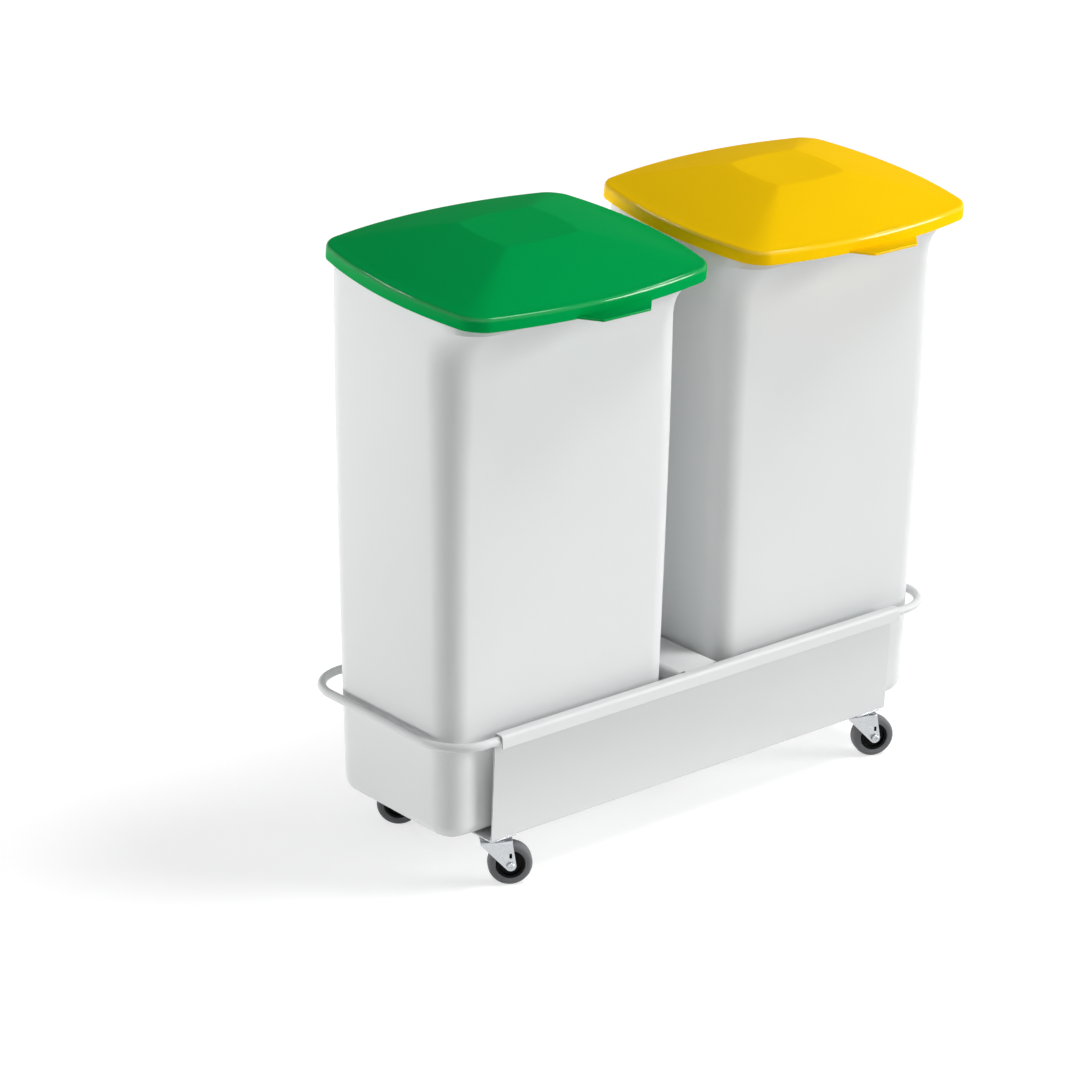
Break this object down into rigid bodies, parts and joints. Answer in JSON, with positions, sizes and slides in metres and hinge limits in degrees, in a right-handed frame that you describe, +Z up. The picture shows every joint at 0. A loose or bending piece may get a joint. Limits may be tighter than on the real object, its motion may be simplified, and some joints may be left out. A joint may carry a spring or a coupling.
{
  "type": "double recycling bin",
  "caption": "Lidded waste tubs side by side in a wheeled trolley of round rod and folded sheet, with hinged lids and swivel castors.",
  "frame": {"origin": "on the floor under the middle of the outline, from grip lips to rear hook and from side to side", "axes": "+X to the yellow tub, +Y to the back where the lids hinge, +Z up"},
  "size_m": [0.75, 0.3542, 0.7314],
  "materials": {
    "powder_coat": "satin white powder coat on steel",
    "tub_plastic": "satin moulded polypropylene, cool light grey",
    "green_lid": "glossy moulded plastic, green",
    "yellow_lid": "glossy moulded plastic, warm yellow",
    "zinc": "bright zinc plate",
    "wheel_core": "black moulded nylon",
    "tyre": "grey thermoplastic rubber"
  },
  "bodies": {
    "trolley": {"ring": "powder_coat", "front_panel": "powder_coat", "rear_panel": "powder_coat", "centre_bridge": "powder_coat", "castor_front_left_top_plate": "zinc", "castor_front_left_swivel_race": "zinc", "castor_front_left_kingpin": "zinc", "castor_front_left_rivet_1": "zinc", "castor_front_left_rivet_2": "zinc", "castor_front_right_top_plate": "zinc", "castor_front_right_swivel_race": "zinc", "castor_front_right_kingpin": "zinc", "castor_front_right_rivet_1": "zinc", "castor_front_right_rivet_2": "zinc", "castor_rear_left_top_plate": "zinc", "castor_rear_left_swivel_race": "zinc", "castor_rear_left_kingpin": "zinc", "castor_rear_left_rivet_1": "zinc", "castor_rear_left_rivet_2": "zinc", "castor_rear_right_top_plate": "zinc", "castor_rear_right_swivel_race": "zinc", "castor_rear_right_kingpin": "zinc", "castor_rear_right_rivet_1": "zinc", "castor_rear_right_rivet_2": "zinc"},
    "fork_front_left": {"castor_front_left_fork": "zinc", "castor_front_left_axle_sleeve": "zinc", "castor_front_left_axle_bolt": "zinc", "castor_front_left_axle_nut": "zinc"},
    "wheel_front_left": {"castor_front_left_wheel_core": "wheel_core", "castor_front_left_tyre": "tyre"},
    "fork_front_right": {"castor_front_right_fork": "zinc", "castor_front_right_axle_sleeve": "zinc", "castor_front_right_axle_bolt": "zinc", "castor_front_right_axle_nut": "zinc"},
    "wheel_front_right": {"castor_front_right_wheel_core": "wheel_core", "castor_front_right_tyre": "tyre"},
    "fork_rear_left": {"castor_rear_left_fork": "zinc", "castor_rear_left_axle_sleeve": "zinc", "castor_rear_left_axle_bolt": "zinc", "castor_rear_left_axle_nut": "zinc"},
    "wheel_rear_left": {"castor_rear_left_wheel_core": "wheel_core", "castor_rear_left_tyre": "tyre"},
    "fork_rear_right": {"castor_rear_right_fork": "zinc", "castor_rear_right_axle_sleeve": "zinc", "castor_rear_right_axle_bolt": "zinc", "castor_rear_right_axle_nut": "zinc"},
    "wheel_rear_right": {"castor_rear_right_wheel_core": "wheel_core", "castor_rear_right_tyre": "tyre"},
    "tub_green": {"tub_green": "tub_plastic", "hinge_pin_green_1": "zinc", "hinge_pin_green_2": "zinc"},
    "lid_green": {"lid_green": "green_lid"},
    "tub_yellow": {"tub_yellow": "tub_plastic", "hinge_pin_yellow_1": "zinc", "hinge_pin_yellow_2": "zinc"},
    "lid_yellow": {"lid_yellow": "yellow_lid"}
  },
  "joints": [
    {"name": "castor_front_left_swivel", "type": "hinge", "parent": "trolley", "child": "fork_front_left", "pos_m": [-0.2775, -0.06768, 0.055], "axis": [0, 0, 1], "continuous": true},
    {"name": "castor_front_left_wheel", "type": "hinge", "parent": "fork_front_left", "child": "wheel_front_left", "pos_m": [-0.2645, -0.07612, 0.025], "axis": [0.5446, 0.8387, 0], "continuous": true},
    {"name": "castor_front_right_swivel", "type": "hinge", "parent": "trolley", "child": "fork_front_right", "pos_m": [0.2775, -0.06768, 0.055], "axis": [0, 0, 1], "continuous": true},
    {"name": "castor_front_right_wheel", "type": "hinge", "parent": "fork_front_right", "child": "wheel_front_right", "pos_m": [0.29166, -0.07398, 0.025], "axis": [0.4067, 0.9135, 0], "continuous": true},
    {"name": "castor_rear_left_swivel", "type": "hinge", "parent": "trolley", "child": "fork_rear_left", "pos_m": [-0.2775, 0.13732, 0.055], "axis": [0, 0, 1], "continuous": true},
    {"name": "castor_rear_left_wheel", "type": "hinge", "parent": "fork_rear_left", "child": "wheel_rear_left", "pos_m": [-0.26563, 0.12736, 0.025], "axis": [0.6428, 0.766, 0], "continuous": true},
    {"name": "castor_rear_right_swivel", "type": "hinge", "parent": "trolley", "child": "fork_rear_right", "pos_m": [0.2775, 0.13732, 0.055], "axis": [0, 0, 1], "continuous": true},
    {"name": "castor_rear_right_wheel", "type": "hinge", "parent": "fork_rear_right", "child": "wheel_rear_right", "pos_m": [0.29092, 0.12957, 0.025], "axis": [0.5, 0.866, 0], "continuous": true},
    {"name": "tub_green_lift", "type": "slide", "parent": "trolley", "child": "tub_green", "axis": [0, 0, 1], "range_m": [0, 0.2]},
    {"name": "lid_green_hinge", "type": "hinge", "parent": "tub_green", "child": "lid_green", "pos_m": [-0.194, 0.15704, 0.70142], "axis": [-1, 0, 0], "range_deg": [0, 105]},
    {"name": "tub_yellow_lift", "type": "slide", "parent": "trolley", "child": "tub_yellow", "axis": [0, 0, 1], "range_m": [0, 0.2]},
    {"name": "lid_yellow_hinge", "type": "hinge", "parent": "tub_yellow", "child": "lid_yellow", "pos_m": [0.194, 0.15704, 0.70142], "axis": [-1, 0, 0], "range_deg": [0, 105]}
  ]
}
